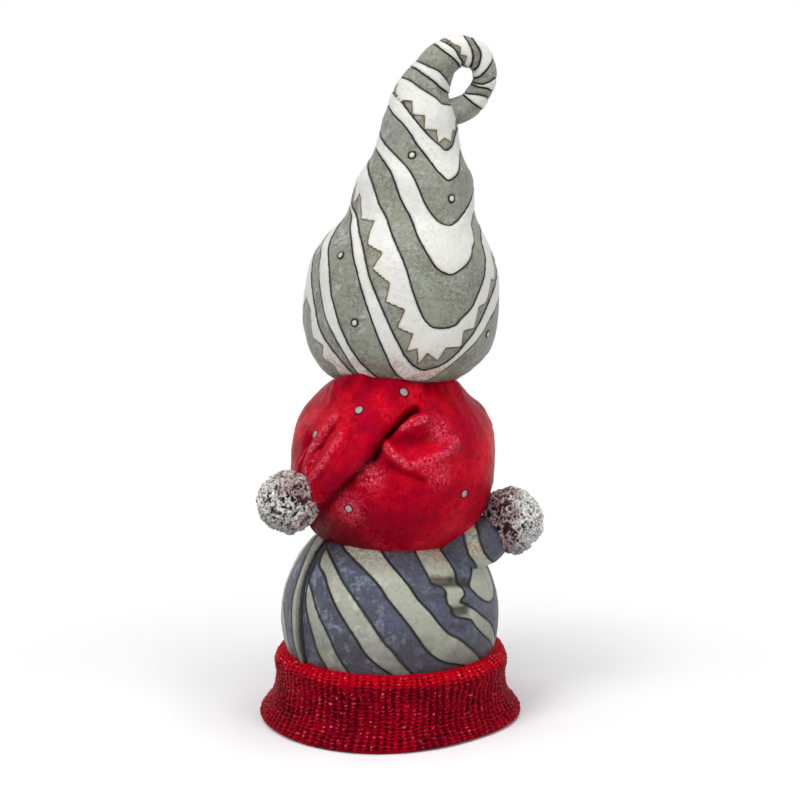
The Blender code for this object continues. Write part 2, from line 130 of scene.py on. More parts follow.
BODY_LINES = {
    "A": ((-110, 13.9), (-71, 13.8), (-41, 13.6), (-25, 13.35), (-7, 12.87), (5, 12.45), (19, 11.97),
     (30, 11.61), (38, 11.37), (50, 11.55), (64, 12.09), (73, 12.4), (125, 13), (180, 13.5)),
    "B": ((-110, 13.55), (-71, 13.4), (-33, 12.87), (-15, 12.33), (0, 11.55), (14, 10.83), (25, 10.23),
     (34, 9.92), (43, 10.1), (54, 10.53), (70, 11.2), (125, 12.1), (180, 12.9)),
    "C": ((-110, 12.6), (-76, 12.2), (-47, 11.6), (-22, 10.9), (-6, 10.3), (4, 9.6), (12, 8.84),
     (20, 8.06), (27, 7.64), (34, 7.52), (42, 7.76), (51, 8.18), (68, 9.02), (125, 10.6), (180, 11.7)),
    "D": ((-110, 11.9), (-77, 11.5), (-28, 10.35), (-13, 9.3), (4, 7.58), (10, 6.8), (15, 6.26),
     (20, 5.83), (25, 5.65), (29, 5.59), (35, 5.7), (42, 5.9), (47, 6.14), (51, 6.44), (57, 6.74),
     (63, 7.64), (71, 8.06), (125, 9.7), (180, 10.9)),
    "E": ((-110, 11.1), (-71, 10.6), (-47, 9.92), (-22, 8.12), (-3, 6.38), (2, 5.77), (6, 5.1),
     (10, 4.57), (14, 4.2), (19, 4), (25, 3.97), (31, 4.03), (36, 4.27), (43, 4.57), (50, 5.05),
     (57, 5.53), (62, 6.02), (69, 6.74), (125, 8.5), (180, 10)),
    "F": ((-110, 9.8), (-66, 8.6), (-50, 7.9), (-37, 7.16), (-27, 6.44), (-19, 5.47), (-14, 4.93),
     (-8, 4.27), (-1, 3.43), (3, 2.95), (10, 2.47), (18, 2.23), (25, 2.35), (32, 2.65), (39, 3.2),
     (47, 3.8), (57, 4.5), (68, 5.05), (125, 6.9), (180, 8.5)),
    "G": ((-110, 9.3), (-65, 8.2), (-52, 7.5), (-40, 6.8), (-30, 5.9), (-23, 5.05), (-16, 4.15),
     (-12, 3.55), (-8, 2.95), (-5, 2.47), (0, 1.92), (6, 1.62), (14, 1.5), (24, 1.56), (31, 2),
     (37, 2.5), (44, 3), (54, 3.6), (63, 4.15), (71, 4.45), (125, 6.2), (180, 7.9)),
    "H": ((-110, 8.6), (-71, 7.5), (-60, 6.5), (-52, 5.95), (-43, 4.75), (-35, 3.8), (-25, 2.65),
     (-16, 1.86), (-6, 1), (8, 0.3), (30, 0.3), (50, 1), (72, 2.2), (125, 4.7), (180, 6.9)),
    "I": ((-110, 8), (-81, 7.5), (-73, 6.56), (-66, 6.2), (-58, 5.35), (-49, 4.33), (-42, 3.67),
     (-35, 2.9), (-30, 2.1), (-20, 0.9), (0, 0.1), (30, -0.2), (55, 0.6), (72, 1.6), (125, 4),
     (180, 6.2)),
    "J": ((-110, 6.7), (-78, 5.9), (-65, 5), (-58, 4.33), (-52, 3.67), (-43, 2.95), (-36, 2.17),
     (-28, 1), (-10, 0), (30, -0.6), (72, 0.3), (125, 2.5), (180, 4.7)),
    "K": ((-110, 3.3), (-75, 1.6), (-65, 0.9), (-50, 0), (-10, -0.8), (30, -1), (100, 0.2),
     (130, 1.1), (180, 2.9)),
    "L": ((-110, 2.5), (-75, 0.8), (-50, -0.5), (30, -1.6), (100, -0.6), (135, 0.5), (180, 2)),
    "M": ((-110, 1.5), (-75, 0), (-50, -1.2), (30, -2.2), (100, -1.4), (140, -0.2), (180, 0.9)),
}
MAIN_TEETH = (
    (-55, 9.14), (-46, 7.94), (-30, 7.82), (-25, 6.62), (-13, 6.32), (-18, 5.77), (-7, 5.35),
    (-9, 4.81), (2, 4.57), (-2, 4.03), (7, 3.79), (4, 3.13), (10, 3.25), (12, 2.59), (16, 3.07),
    (24, 2.71), (27, 3.25), (38, 3.25), (38, 3.85), (46, 3.91), (49, 4.57), (57, 4.69), (65, 5.41),
)
LOWER_TEETH = (
    (-75, 4.81), (-65, 4.45), (-62, 3.49), (-52, 3.25), (-56, 2.71), (-48, 2.29), (-49, 1.6),
    (-38, 1.2), (-38, 0.4), (30, -0.8),
)
GREY_DOTS = (
    (-7, 11.07), (38, 9.14), (-43, 6.2), (-27, 4.15), (63, 3.61),
    (95, 4.4), (140, 5.6), (185, 7.4), (-135, 8.3), (120, 11.3), (-165, 12.3),
)
GREY_DOT_RADIUS = 2.8

# Folds of the red hat: angle and height of the points that each passes
RED_CREASE = (
    (17.5, 55.5), (6, 48.5), (-4.5, 34.5), (-7.5, 28), (-11, 20), (-17, 11.5), (-22.5, 2.5), (-29, -6),
    (-36, -15), (-46, -26),
)
# How dark and how wide the painted shade in the crease is, by the share of it passed
RED_CREASE_DEPTH = (
    (0, 0), (0.04, 0.6), (0.3, 0.7), (0.4, 0.35), (0.47, 0.8), (0.55, 0.6), (0.7, 0.75), (0.85, 0.55),
    (1, 0.3),
)
RED_CREASE_WIDTH = ((0, 1.5), (0.3, 2.5), (0.45, 5.5), (0.6, 4.5), (1, 5))
RED_PILLOW = (
    (-4, 25), (-1, 21), (2, 17), (6, 12.5), (11, 12.5), (16, 15), (22, 17), (29, 20.5), (34, 27),
)
RED_BROW = ((5, 39), (12, 42), (19, 44))
RED_PLEATS = (
    ((-36, 43), (-41, 37), (-43.5, 30), (-48.5, 20), (-54.5, 7)),
    ((-28, 30), (-32, 20), (-37, 10), (-45, -2)),
)
RED_ROLL_HEIGHT = 2.2
# All but the crease: line, width and strength of the fold, then width and strength of its shade
RED_FOLDS = (
    (RED_PILLOW, 6.5, 1, 1, 0),
    (RED_BROW, 5.5, 0.5, 1, 0),
    (((2, 29), (10, 30), (21, 31)), 5.5, -0.6, 6, 0.42),
    (((-8, 24), (-11, 17)), 4.5, -0.5, 3.4, 0.9),
    (((-4, 14), (1, 10), (5, 6.5), (11, 4), (17, 0)), 5, -0.5, 3.2, 0.5),
    (((16, 52), (10, 49.5), (5, 44.5), (0, 39.5), (-4, 34)), 2.6, -0.9, 2.1, 1),
    (((-58, 62), (-20, 66), (20, 66), (60, 64)), 7, 0.95, 1, 0),
    (((-46, 60), (-34, 63), (-24, 64)), 8, 0.9, 1, 0),
    (((78, 56), (112, 56)), 8, -0.5, 1, 0),
    (((84, 2), (84, -30)), 20, -0.65, 1, 0),
    (((-37, 37), (-41, 29), (-44, 20), (-48, 12)), 4, -0.6, 3.2, 0.5),
    (((-55.5, 27), (-57, 12), (-61, 2)), 4, -0.6, 2.6, 0.65),
    (RED_PLEATS[0], 4, 0.38, 1, 0),
    (RED_PLEATS[1], 4, 0.5, 1, 0),
)
# Painted shade below the grey hat's rim (angle, height), patches of painted glints (angle, height, width)
# and dots (angle, height)
RED_RIM_SHADES = (
    (27, 62), (34, 61), (42, 60), (43, 52), (-18, 66), (-33, 62),
)
RED_GLINT_PATCHES = (
    (27, 36, 11), (33, 26, 7), (25, 4, 11), (18, 9, 7), (-60, 40, 8), (-12, 3, 12), (-25, -22, 14),
)
RED_DOTS = (
    (-20.6, 47.5), (6.8, 59.2), (-49.5, 30), (-25.7, -23), (41.1, -13.5), (98, 30), (92, -18), (118, 52),
    (140, 6), (172, -30), (165, 38), (-155, 14), (-128, 48), (-118, -22),
)
RED_DOT_RADIUS = 2.75

# Stripes of the blue hat: height above the ball's middle, and angle of the boundary there. Blue
# turns to sage or back at each, going round to the right from the left of the fold.
BLUE_LINES = (
    ((-20, -66), (-1.7, -70), (9.7, -75), (22.8, -79), (40.7, -81), (62, -84)),
    ((-16, -57), (-2.9, -60), (11.1, -62), (22.7, -63), (33.8, -64), (45.1, -66), (55.9, -73), (64.6, -81)),
    ((-27, -50), (-7.7, -50.2), (3.9, -51.1), (15.1, -52.6), (26, -54.1), (35.6, -55.9), (44.1, -57.1),
     (55.6, -59.1), (62.8, -60.5)),
    ((-21.2, -36), (-9.2, -40), (-0.5, -42), (9.4, -45), (18.9, -49), (28.4, -52), (40.5, -54), (64, -56)),
    ((-24.7, -22), (-11.1, -27), (-1.6, -30), (7.4, -34), (14.9, -38), (22.4, -42), (31.9, -47),
     (39.8, -53), (64, -55.5)),
    ((-22.5, -1), (-15.7, -7), (-7.9, -12), (1.7, -16), (11.5, -21), (20.2, -26), (28.8, -31), (36.9, -36),
     (44.4, -41), (52.3, -51), (66, -55)),
    ((-23.1, 11), (-12.1, 5), (-5.9, 2), (2.7, -3), (11.5, -7), (19.4, -11), (28.2, -16), (36.6, -22),
     (43.5, -28), (51.2, -35), (58.4, -45), (63.3, -54.5)),
    ((-26, 46), (-23.2, 40), (-17.5, 29), (-11.8, 23), (-4.3, 18), (4.8, 14), (15.6, 9), (25.1, 4),
     (33.5, -1), (41, -5), (47.1, -10), (53.3, -17), (58.6, -25), (62.6, -33)),
    ((-18.9, 53), (-8.4, 44), (-0.4, 37), (5.3, 31), (13.4, 26), (21.6, 22), (30.1, 17), (36.8, 14),
     (42.6, 11), (50.2, 6), (58, 0), (63.8, -5)),
    ((-12.6, 65), (-3.4, 56), (4.4, 50), (11.6, 45), (16.7, 37), (22.6, 35), (27.2, 32), (33.2, 32),
     (39.2, 31), (43.7, 26), (50.3, 23), (57.2, 21), (64.3, 19)),
    ((-20, 80), (-3, 68), (3, 64), (11.6, 56), (18.4, 50), (23.7, 45), (26.7, 41), (30.7, 44), (35.8, 44),
     (42.6, 44), (58.3, 42), (65.5, 41)),
)
BLUE_BACK_LINES = 13
BLUE_BACK_SPAN = (84, 285)
# The fold, and the patch of sage beside the tail: angle and height
BLUE_FOLD = (
    (-60.5, 62.8), (-59.1, 55.6), (-57.1, 44.1), (-55.9, 35.6), (-54.1, 26), (-52.6, 15.1), (-51.1, 3.9),
    (-50.2, -7.7), (-50, -27),
)
BLUE_FOLD_HEIGHT = 3.6
BLUE_PATCH = (
    (72, 57), (62, 48), (55.5, 41.5), (50.5, 35), (53.1, 28.5), (60.2, 21.7), (65.9, 18.4), (72.5, 18.5),
    (77.8, 21.3), (81.7, 27), (83, 36), (83, 56),
)
# Cuts between the stripes of the tail: x and z
TAIL_LINES = (
    ((13, 160), (14.1, 148.5), (18.9, 137.9), (24.5, 129.1), (31.8, 121.4), (40, 112)),
    ((33, 160), (39.7, 145.1), (44, 136.3), (52.6, 121.7), (54.1, 118.8), (58, 108)),
    ((55, 166), (58.4, 149.8), (61.3, 138.8), (65.7, 132.2), (68.2, 127.1), (67.1, 122.6), (66, 108)),
    ((66, 168), (70.8, 147.9), (73.7, 139.8), (78.1, 133.2), (83.2, 128), (92, 118)),
)
# Strength of each gather, and angle and height of its line
BLUE_GATHERS = (
    (1, ((27, 44), (33.7, 42.2), (41, 41.8))),
    (1, ((36, 20.2), (40.3, 19.8), (44.6, 19.7))),
    (0.8, ((42, 40.5), (46, 38.5), (50, 39))),
    (0.45, ((15, 35), (22, 32.4), (30, 31.7))),
    (0.4, ((34, 8), (42, 6))),
)

GREY_GRID = (330, 300)
RED_GRID = (400, 190)
BLUE_GRID = (420, 200)
CUFF_SAMPLES = 8
CUFF_ROWS = 112
TAIL_GRID = (110, 90)
POMPOM_LEVELS = 7
NO_TEETH = 9.0  # distance to the teeth where a hat has none
NO_DOTS = -9.0  # the same for dots, which count their outside as negative
ENGRAVED_WIDTH = 0.9

# Bump depths in metres, and the red sheen of the crimson paint
PAINT_BUMP = 0.0005
KNIT_BUMP = 0.0007
POMPOM_BUMP = 0.0016
CRIMSON_SHINE = {"Specular IOR Level": 0.05, "Specular Tint": (1.0, 0.1, 0.2, 1.0)}

# The photograph's view, with lights given as name, place, size in metres and power in watts
CAMERA_PLACE = (0.0089, -1.2, 0.417)
CAMERA_TILT = 82.2
CAMERA_LENS = 69.21
CAMERA_SENSOR = 36.0
FLOOR_REACH = 6.0
LIGHT_AIM = (0.0, 0.0, 0.26)
LIGHTS = (
    ("key", (-1.2, -1.4, 1.8), 0.9, 27.0),
    ("fill", (1.5, -1.5, 1.1), 1.0, 15.0),
    ("top", (0.1, -0.2, 2.1), 1.2, 24.0),
)


def smooth_line(points, count):
    """Evenly stepped rows on a smooth curve through the given points."""
    given = np.array(points, float)
    padded = np.vstack([2 * given[0] - given[1], given, 2 * given[-1] - given[-2]])
    at = np.linspace(0, len(given) - 1, count)
    start = np.minimum(at.astype(int), len(given) - 2)
    t = (at - start)[:, None]
    a, b, c, d = (padded[start + step] for step in range(4))
    return b + 0.5 * t * (c - a + t * (2 * a - 5 * b + 4 * c - d + t * (3 * (b - c) + d - a)))


def level_line(at, level, where):
    """Value of a curve through points, without overshoot, and its slope there."""
    step = np.diff(at)
    slope = np.diff(level) / step
    first, second = slope[:-1], slope[1:]
    same = first * second > 0
    total = np.where(same, first + second, 1.0)
    tangent = np.zeros_like(level)
    tangent[1:-1] = np.where(same, 2 * first * second / total, 0.0)
    tangent[0], tangent[-1] = slope[0], slope[-1]
    inside = np.clip(where, at[0], at[-1])
    k = np.clip(np.searchsorted(at, inside, side="right") - 1, 0, len(step) - 1)
    t = (inside - at[k]) / step[k]
    rise = level[k + 1] - level[k]
    a = tangent[k] * step[k]
    b = tangent[k + 1] * step[k]
    value = level[k] + t * (a + t * (3 * rise - 2 * a - b + t * (a + b - 2 * rise)))
    value = value + (where - inside) * np.where(where > inside, slope[-1], slope[0])
    change = (a + t * (2 * (3 * rise - 2 * a - b) + 3 * t * (a + b - 2 * rise))) / step[k]
    return value, change


def closed_line(points, angles):
    """Value and slope of a line drawn right round a hat."""
    at, level = np.array(sorted((angle % 360, value) for angle, value in points), float).T
    at = np.concatenate([at[-3:] - 360, at, at[:3] + 360])
    level = np.concatenate([level[-3:], level, level[:3]])
    return level_line(at, level, angles % 360)


def mirrored(points):
    """The same line carried on round the back of a roll, as a mirror image."""
    return tuple(points) + tuple((180 - angle, value) for angle, value in points)


def bell(gap, width):
    """A soft bump, 1 where the gap is 0."""
    return np.exp(-((gap / width) ** 2))


def ramp_of(value, low, high):
    """Soft step of an array between two levels."""
    t = np.clip((value - low) / (high - low), 0, 1)
    return t * t * (3 - 2 * t)


def nearest_run(ends, spots):
    """Distance from points in a plane to a broken line, side of it and share of it passed."""
    best = np.full(spots.shape[:-1], FAR)
    side = np.zeros_like(best)
    share = np.zeros_like(best)
    for index, (start, end) in enumerate(zip(ends, ends[1:])):
        run = end - start
        offset = spots - start
        t = np.clip(offset @ run / (run @ run), 0, 1)
        gap = np.linalg.norm(offset - t[..., None] * run, axis=-1)
        nearer = gap < best
        best = np.where(nearer, gap, best)
        cross = offset[..., 0] * run[1] - offset[..., 1] * run[0]
        side = np.where(nearer, np.sign(cross), side)
        share = np.where(nearer, (index + t) / (len(ends) - 1), share)
    return best, side, share


def distance_to(line, angles, heights, radius):
    """Distance in millimetres from points on a ball to a line on it, side of it and share passed."""
    ends = smooth_line(line, 4 * len(line))
    ends = np.stack([np.radians(ends[:, 0]) * radius, ends[:, 1]], 1)
    return nearest_run(ends, np.stack([np.radians(angles) * radius, heights], -1))


def ridge(line, angles, heights, radius, width):
    """A soft ridge along a line, 1 at its middle."""
    return bell(distance_to(line, angles, heights, radius)[0], width)


def teeth_distance(corners, angles, levels, per_degree, per_level):
    """Distance to a line of straight teeth, and whether each point is above it."""
    best = np.full(angles.shape, FAR)
    above = np.zeros(angles.shape, bool)
    for turn in (-360, 0, 360):
        for (a0, v0), (a1, v1) in zip(corners, corners[1:]):
            a0t, a1t = a0 + turn, a1 + turn
            dx, dy = (a1t - a0t) * per_degree, (v1 - v0) * per_level
            ox, oy = (angles - a0t) * per_degree, (levels - v0) * per_level
            t = np.clip((ox * dx + oy * dy) / np.maximum(dx * dx + dy * dy, 1e-9), 0, 1)
            best = np.minimum(best, np.hypot(ox - t * dx, oy - t * dy))
            if a0t != a1t:
                spans = (a0t > angles) != (a1t > angles)
                crossing = v0 + (angles - a0t) * (v1 - v0) / (a1t - a0t)
                above ^= spans & (crossing < levels)
    return best, above


def carried_teeth(front, upper, lower, first, last, count, shares):
    """Front teeth carried on round the back between two lines, up to where they began."""
    angles = np.linspace(first, last, count)
    high, low = (closed_line(line, angles)[0] for line in (upper, lower))
    levels = low + np.resize(shares, count) * (high - low)
    return [*front, *zip(angles.tolist(), levels.tolist()), (front[0][0] + 360, front[0][1])]


def crumple(points, size, seed, octaves=3):
    """Fractal noise at points given in millimetres, about -1 to 1."""
    shift = Vector((seed * 7.31, seed * 3.17, seed * 5.73))
    flat = points.reshape(-1, 3) / size
    made = [
        noise.fractal(Vector(spot) + shift, 1.0, 2.0, octaves, noise_basis="PERLIN_ORIGINAL")
        for spot in flat.tolist()
    ]
    return np.array(made).reshape(points.shape[:-1])


def surface_out(points):
    """Outward normals of a closed grid of rings."""
    around = np.roll(points, -1, axis=1) - np.roll(points, 1, axis=1)
    along = np.gradient(points, axis=0)
    out = np.cross(around, along)
    return out / np.maximum(np.linalg.norm(out, axis=-1, keepdims=True), 1e-9)


def loft(name, rings, material, slot, **values):
    """A closed mesh through rings of points, with named values kept at its points."""
    rows, sides, _ = rings.shape
    ends = np.stack([rings[0].mean(axis=0), rings[-1].mean(axis=0)])
    points = np.vstack([rings.reshape(-1, 3), ends]) * METRES
    low = np.arange((rows - 1) * sides)
    after = low - low % sides + (low + 1) % sides
    quads = np.stack([low, after, after + sides, low + sides], 1).tolist()
    one = np.arange(sides)
    two = (one + 1) % sides
    last = (rows - 1) * sides
    bottom = np.stack([two, one, np.full(sides, rows * sides)], 1).tolist()
    top = np.stack([last + one, last + two, np.full(sides, rows * sides + 1)], 1).tolist()
    mesh = bpy.data.meshes.new(name)
    mesh.from_pydata(points.tolist(), [], quads + bottom + top)
    for key, value in values.items():
        keep(mesh, key, np.concatenate([value.reshape(-1), [value[0].mean(), value[-1].mean()]]))
    return place(name, mesh, material)


def keep(mesh, key, value):
    """Keep one number a point, under a name that the materials read."""
    kept = mesh.attributes.new(key, "FLOAT", "POINT")
    kept.data.foreach_set("value", value.astype(np.float32))


def link(name, data):
    """A new object in the scene."""
    made = bpy.data.objects.new(name, data)
    bpy.context.scene.collection.objects.link(made)
    return made


def place(name, mesh, material):
    """A smooth-shaded object that rides on the figurine and stands for it."""
    mesh.shade_smooth()
    mesh.materials.append(material)
    thing = link(name, mesh)
    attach(thing, "root")
    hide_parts("figurine")
    return thing


def ball_radius(heights, half_height, radius, fullness):
    """Radius of a ball at a height above its middle."""
    share = np.clip(np.abs(heights) / half_height, 0, 1)
    return radius * (1 - share**fullness) ** (1 / fullness)


def crowded_angles(sides, crowding):
    """Angles right round, closer together at the photographed side."""
    angles = np.linspace(-180, 180, sides, endpoint=False)
    return angles - crowding * np.sin(np.radians(angles))


def ball_grid(grid, half_height, crowding):
    """Angles and heights of a ball's rings."""
    sides, rows = grid
    lean = np.linspace(-0.47 * math.pi, 0.47 * math.pi, rows)
    return np.meshgrid(crowded_angles(sides, crowding), half_height * np.sin(lean))


def polar(radii, angles, heights, centre_x):
    """Points at given radii round an upright axis."""
    turn = np.radians(angles)
    return np.stack([centre_x + radii * np.sin(turn), -radii * np.cos(turn), heights], -1)


# Materials: paints worked out from noise and from the values kept at a mesh's points.


class Value:
    """A number worked out by shader nodes, so that a paint can be written as plain sums."""

    def __init__(self, tree, socket):
        self.tree = tree
        self.socket = socket

    def node(self, operation, first, second=0.0):
        """One arithmetic node."""
        made = put(self.tree, "Math", {0: first, 1: second}, operation=operation)
        return Value(self.tree, made.outputs[0])

    def __add__(self, other):
        return self.node("ADD", self, other)

    def __sub__(self, other):
        return self.node("SUBTRACT", self, other)

    def __rsub__(self, other):
        return self.node("SUBTRACT", other, self)

    def __mul__(self, other):
        return self.node("MULTIPLY", self, other)

    def __abs__(self):
        return self.node("ABSOLUTE", self)

    def most(self, other):
        """The larger of two values."""
        return self.node("MAXIMUM", self, other)

    def ramp(self, low, high, start=0.0, end=1.0):
        """Soft step of the value between two levels."""
        inputs = {"Value": self, "From Min": low, "From Max": high, "To Min": start, "To Max": end}
        made = put(self.tree, "MapRange", inputs, interpolation_type="SMOOTHSTEP")
        return Value(self.tree, made.outputs["Result"])


def put(tree, kind, inputs=None, **settings):
    """One shader node: its settings, then its inputs, each a plain value or a node's output."""
    made = tree.nodes.new("ShaderNode" + kind)
    for key, value in settings.items():
        setattr(made, key, value)
    for key, value in (inputs or {}).items():
        join(tree, value, made.inputs[key])
    return made


def join(tree, value, socket):
    """Give a socket a node's output, or else a plain value."""
    if isinstance(value, Value):
        value = value.socket
    if isinstance(value, bpy.types.NodeSocket):
        tree.links.new(value, socket)
    else:
        socket.default_value = value


def blend(tree, share, first, second):
    """Mix of two colours, each a node's output or linear red, green and blue."""
    colours = [c if isinstance(c, bpy.types.NodeSocket) else (*c, 1.0) for c in (first, second)]
    made = put(tree, "Mix", {0: share, 6: colours[0], 7: colours[1]}, data_type="RGBA")
    return made.outputs[2]


def coats(tree, colour, *layers):
    """A colour under further coats, each given as the share that it covers and its colour."""
    for share, coat in layers:
        colour = blend(tree, share, colour, coat)
    return colour


def attributes(tree, *names):
    """Values kept at the mesh's points."""
    nodes = [put(tree, "Attribute", attribute_name=name) for name in names]
    return [Value(tree, node.outputs["Fac"]) for node in nodes]


def own_place(tree):
    """Place in the object's own coordinates, in metres."""
    return put(tree, "TexCoord").outputs["Object"]


def place_along(tree, axis):
    """Place along one axis: X to the right of the middle, Z above the floor."""
    return Value(tree, put(tree, "SeparateXYZ", {0: own_place(tree)}).outputs[axis])


def noise_at(tree, scale, detail=4.0, rough=0.55, distort=0.0):
    """Noise over the object; scale is in features a metre."""
    inputs = {"Vector": own_place(tree), "Scale": scale, "Detail": detail, "Roughness": rough}
    made = put(tree, "TexNoise", {**inputs, "Distortion": distort})
    return Value(tree, made.outputs["Fac"])


def cracks(tree, scale, width, distort=1.2):
    """Thin crinkled lines, 1 on them."""
    return abs(noise_at(tree, scale, 3.0, 0.6, distort) - 0.5).ramp(width, 0.2 * width)


def new_material(name, **plain):
    """A Principled material with plain values set straight on its sockets."""
    made = bpy.data.materials.new(name)
    made.use_nodes = True
    shader = made.node_tree.nodes["Principled BSDF"]
    for key, value in plain.items():
        shader.inputs[key].default_value = value
    return made, made.node_tree, shader


def finished(made, shader, colour, rough, height, depth):
    """The material with colour, roughness and bump height (in units of depth metres) joined."""
    tree = made.node_tree
    bump = put(tree, "Bump", {"Height": height, "Distance": depth})
    join(tree, colour, shader.inputs["Base Color"])
    join(tree, rough, shader.inputs["Roughness"])
    join(tree, bump.outputs[0], shader.inputs["Normal"])
    return made


def striped_paint(name, base, base_highlight, dirt_and_shade, pale, pale_dark, rust, low_shade, shine, line_width):
    """Two antiqued paints parted by dark engraved lines, with painted shade in their hollows and near the
    floor, and painted highlights.

    rust gives the heights where the soiling starts and is full, its share, and its colour on the
    pale stripes and on the others; the next argument is the share of painted shade near the floor.
    """
    made, tree, shader = new_material(name, **{"Specular IOR Level": shine})
    stripe, tooth, hollow, rim = attributes(tree, "stripe", "tooth", "hollow", "rim")
    edge = stripe + (noise_at(tree, 300, 2) - 0.5) * 0.9
    gap = abs(edge)
    plain = (tooth - gap).ramp(0.2, 0.9)
    is_pale = edge.ramp(-0.1, 0.1)
    broad = noise_at(tree, 42)
    patch = noise_at(tree, 75, 5, 0.6)
    fine = noise_at(tree, 300, 5, 0.7)
    streaks = cracks(tree, 240, 0.09, 2)
    crinkle = cracks(tree, 150, 0.045)
    up = place_along(tree, "Z")
    # Painted highlight: sheen patches towards the left, lighter on the base paint and faintly on the pale
    # stripes.
    lit = patch.ramp(0.52, 0.63) * place_along(tree, "X").ramp(0.04, -0.04, 0.35, 1)
    sheen = (lit * fine.ramp(0.38, 0.6)).most(streaks * (lit * 0.9))
    first = coats(
        tree, base,
        (sheen, base_highlight),
        (fine.ramp(0.5, 0.36, 0, 0.35), dirt_and_shade),
        (crinkle * broad.ramp(0.42, 0.6) * 0.6, dirt_and_shade),
    )
    second = coats(
        tree, pale,
        (fine.ramp(0.5, 0.7, 0, 0.5), pale_dark),
        (cracks(tree, 330, 0.05) * 0.14, pale_dark),
        (sheen * 0.4, (0.75, 0.76, 0.73)),
    )
    cream = blend(tree, is_pale, dirt_and_shade, (0.6, 0.47, 0.3))
    start, full, share, soil_pale, soil_base = rust
    soil = blend(tree, is_pale, soil_base, soil_pale)
    halo = gap.ramp(2.6, 0.4, 0, 0.4) * broad.ramp(0.35, 0.6)
    dark = gap.ramp(line_width, 0.6 * line_width) * plain
    colour = coats(
        tree, blend(tree, is_pale, first, second),
        (noise_at(tree, 480, 3, 0.7).ramp(0.68, 0.74, 0, 0.6), dirt_and_shade),
        ((1.0 - tooth.ramp(0.5, 1.5)) * 0.75, cream),
        # Painted shade: darker towards the floor.
        (up.ramp(0.12, 0.05) * broad.ramp(0.3, 0.6, 0.5, 1) * low_shade, dirt_and_shade),
        (up.ramp(start, full) * patch.ramp(0.42, 0.6) * share, soil),
        (crinkle * up.ramp(start, full, 0, 0.6), dirt_and_shade),
        (rim * fine.ramp(0.42, 0.55, 0.1, 0.85), (0.62, 0.5, 0.48)),
        # Painted shade in the hollows: creases, gathers, flutes and where the grey hat meets the red one.
        (hollow.ramp(0, 1, 0, 0.88), (0.032, 0.027, 0.014)),
        (halo * plain, dirt_and_shade),
        (dark, (0.008, 0.007, 0.006)),
    )
    height = edge.ramp(-0.5, 0.5, 0, 0.7) - dark * 1.2 + fine * 1.5
    height = height - streaks.most(crinkle) * ((1.0 - is_pale) * 0.7) + patch * 2.0
    return finished(made, shader, colour, fine.ramp(0.3, 0.75, 0.3, 0.5), height, PAINT_BUMP)


def red_paint(name):
    """Crimson paint over a fleecy surface, with painted shade in its creases and low at its left, and
    painted highlights and glints on its ridges.
    """
    made, tree, shader = new_material(name, **CRIMSON_SHINE)
    hollow, dots, crest = attributes(tree, "hollow", "dots", "crest")
    broad = noise_at(tree, 30)
    mottle = noise_at(tree, 95, 4, 0.6)
    fine = noise_at(tree, 260, 5, 0.7)
    fleece = noise_at(tree, 430, 3, 0.7)
    strokes = cracks(tree, 190, 0.07)
    shade = place_along(tree, "Z").ramp(0.22, 0.15) * place_along(tree, "X").ramp(0.03, -0.05, 0.35, 1)
    # Painted highlights: a rosy tint and pale glints on the crests.
    rosy_highlight = crest.ramp(0.02, 0.7) * mottle.ramp(0.4, 0.6, 0.3, 1)
    lit = fleece.ramp(0.56, 0.63).most(strokes * 0.35) * crest.ramp(0.05, 0.75)
    brushed = strokes * broad.ramp(0.46, 0.62, 0.12, 0.7) * hollow.ramp(0.3, 0)
    colour = coats(
        tree, (0.33, 0.0003, 0.016),
        (broad.ramp(0.36, 0.64), (0.56, 0.0003, 0.009)),
        (mottle.ramp(0.5, 0.36, 0, 0.4), (0.2, 0.0002, 0.005)),
        (fine.ramp(0.5, 0.34, 0, 0.45), (0.18, 0.0002, 0.004)),
        (shade * 0.95, (0.075, 0.0002, 0.004)),
        # Painted shade in the creases and hollows.
        (hollow.ramp(0, 1, 0, 0.98), (0.01, 0.0002, 0.001)),
        (rosy_highlight * 0.3, (0.58, 0.005, 0.036)),
        (lit * 0.85, (0.88, 0.17, 0.24)),
        (brushed * 0.5, (0.72, 0.035, 0.08)),
        (dots.ramp(-1.1, -0.6), (0.02, 0.002, 0.003)),
        (dots.ramp(-0.1, 0.2), (0.36, 0.33, 0.3)),
    )
    height = fine * 2.0 + fleece + dots.ramp(-0.9, 0.3, 0, 0.5) + broad * 3.0
    return finished(made, shader, colour, fine.ramp(0.3, 0.75, 0.3, 0.45), height, PAINT_BUMP)


def cuff_paint(name):
    """Crimson knit with painted shade in its holes, its lip painted lighter on top, and painted highlights
    and glints on its stitches.
    """
    made, tree, shader = new_material(name, **CRIMSON_SHINE)
    hollow, crest, lip = attributes(tree, "hollow", "crest", "lip")
    broad = noise_at(tree, 40, 3)
    spots = noise_at(tree, 85, 3)
    fine = noise_at(tree, 520, 4, 0.7)
    glint = fine.ramp(0.52, 0.62) * crest.ramp(0.45, 0.9) * spots.ramp(0.5, 0.58, 0.12, 1)
    colour = coats(
        tree, (0.15, 0.0003, 0.008),
        (broad.ramp(0.35, 0.65), (0.29, 0.0003, 0.008)),
        # Painted light on the lip's top, painted highlights on the stitches, painted shade in the holes and
        # painted glints.
        (lip.ramp(0, 1), (0.5, 0.0004, 0.009)),
        (crest.ramp(0.35, 0.95, 0, 0.55), (0.56, 0.001, 0.022)),
        (fine.ramp(0.5, 0.36, 0, 0.5), (0.09, 0.0002, 0.003)),
        (hollow.ramp(0.12, 0.8, 0, 0.95), (0.03, 0.0004, 0.003)),
        (glint * 0.85, (0.9, 0.28, 0.34)),
    )
    return finished(made, shader, colour, fine.ramp(0.3, 0.7, 0.25, 0.42), fine, KNIT_BUMP)


